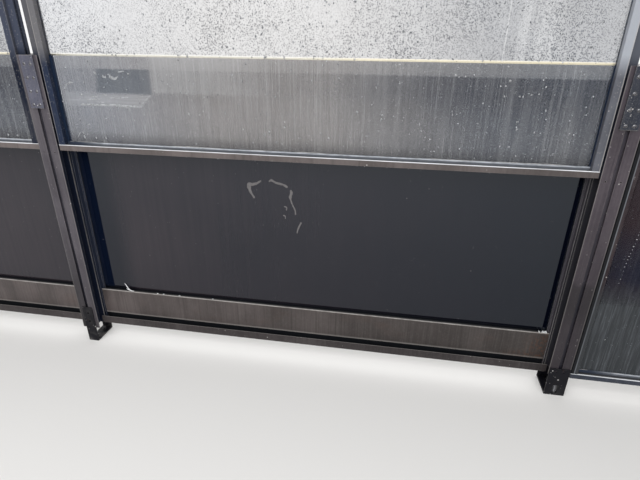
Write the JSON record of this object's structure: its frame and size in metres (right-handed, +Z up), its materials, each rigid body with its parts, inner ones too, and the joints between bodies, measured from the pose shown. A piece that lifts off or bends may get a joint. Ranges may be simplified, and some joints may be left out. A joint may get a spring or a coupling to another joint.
{
  "type": "glazed shelter windscreen wall",
  "caption": "Glazed windscreen wall of an open street shelter: grooved posts on ground shoes hold dark fixed panes and clear sashes that slide up.",
  "frame": {"origin": "middle of the underside of the first post's ground shoe", "axes": "+X along the wall towards the last post, +Y from the sash side to the back, +Z up"},
  "size_m": [5.359, 0.098, 1.7805],
  "materials": {
    "post_bronze": "satin dark bronze anodised, weathered",
    "plate_bronze": "satin dark bronze, weathered",
    "rail_bronze": "satin dark bronze with dried run marks",
    "sash_bronze": "satin dark bronze, worn pale on its edges",
    "shoe_steel": "black, matt, dusty",
    "rubber": "matt black glazing rubber",
    "dark_glass": "glossy, almost black, mirrors its surroundings",
    "clear_glass": "clear, wet, with rain drops and dried streaks"
  },
  "bodies": {
    "root": {"post_1": "post_bronze", "post_2": "post_bronze", "post_3": "post_bronze", "post_4": "post_bronze", "cover_plate_1": "plate_bronze", "cover_plate_2": "plate_bronze", "cover_plate_3": "plate_bronze", "cover_plate_4": "plate_bronze", "ground_shoe_1": "shoe_steel", "ground_shoe_2": "shoe_steel", "ground_shoe_3": "shoe_steel", "ground_shoe_4": "shoe_steel", "left_bottom_rail": "rail_bronze", "centre_bottom_rail": "rail_bronze", "right_bottom_rail": "rail_bronze", "left_sill_gutter": "post_bronze", "centre_sill_gutter": "post_bronze", "right_sill_gutter": "post_bronze", "left_fixed_pane": "dark_glass", "centre_fixed_pane": "dark_glass", "right_fixed_pane": "dark_glass", "left_pane_gasket": "rubber", "centre_pane_gasket": "rubber", "right_pane_gasket": "rubber", "left_sash_bottom_rail": "sash_bronze", "centre_sash_bottom_rail": "sash_bronze", "right_sash_bottom_rail": "sash_bronze", "left_sash_top_rail": "sash_bronze", "centre_sash_top_rail": "sash_bronze", "right_sash_top_rail": "sash_bronze", "left_sash_first_stile": "sash_bronze", "centre_sash_first_stile": "sash_bronze", "right_sash_first_stile": "sash_bronze", "left_sash_second_stile": "sash_bronze", "centre_sash_second_stile": "sash_bronze", "right_sash_second_stile": "sash_bronze", "left_sash_pane": "clear_glass", "centre_sash_pane": "clear_glass", "right_sash_pane": "clear_glass", "left_sash_seal": "rubber", "centre_sash_seal": "rubber", "right_sash_seal": "rubber"}
  },
  "joints": []
}
